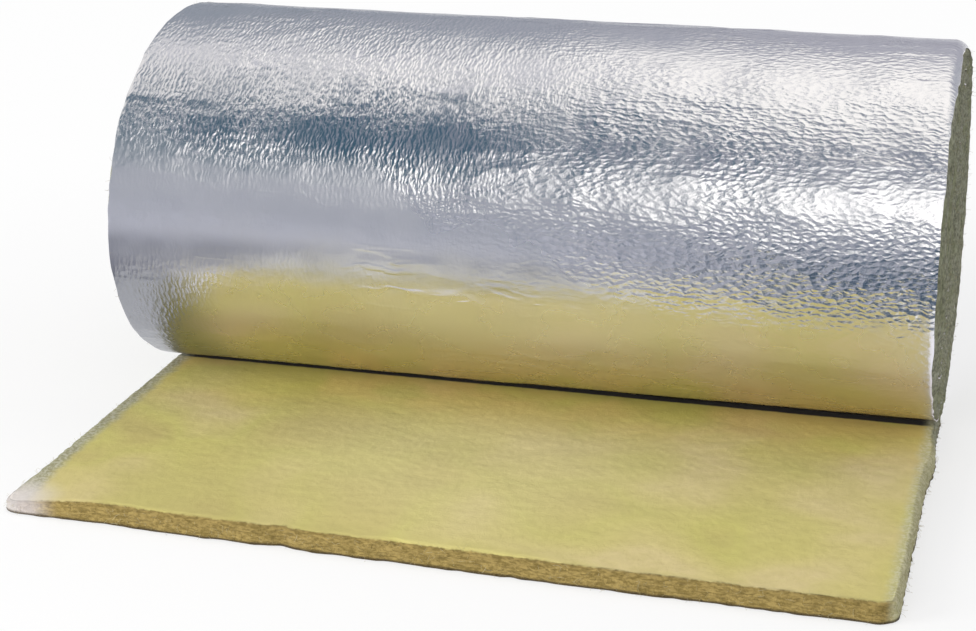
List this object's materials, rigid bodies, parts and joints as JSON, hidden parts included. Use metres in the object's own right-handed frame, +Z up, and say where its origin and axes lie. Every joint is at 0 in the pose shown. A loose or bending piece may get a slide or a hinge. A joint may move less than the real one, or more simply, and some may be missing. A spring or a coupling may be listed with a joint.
{
  "type": "insulation roll",
  "caption": "Foil-faced glass wool blanket wound into a soft oval roll, its free end unrolled flat in front of it, wool side up.",
  "frame": {"origin": "on the floor, under the middle of the whole piece's bounding box", "axes": "+X along the roll's axis, -Y the way the free end is unrolled, +Z up"},
  "size_m": [1.2, 1.0816, 0.5734],
  "materials": {
    "glass_wool": "matte fibrous glass wool",
    "foil_facing": "crinkled scrim-reinforced aluminium foil"
  },
  "bodies": {
    "root": {"glass_wool": "glass_wool", "foil_facing": "foil_facing"}
  },
  "joints": []
}
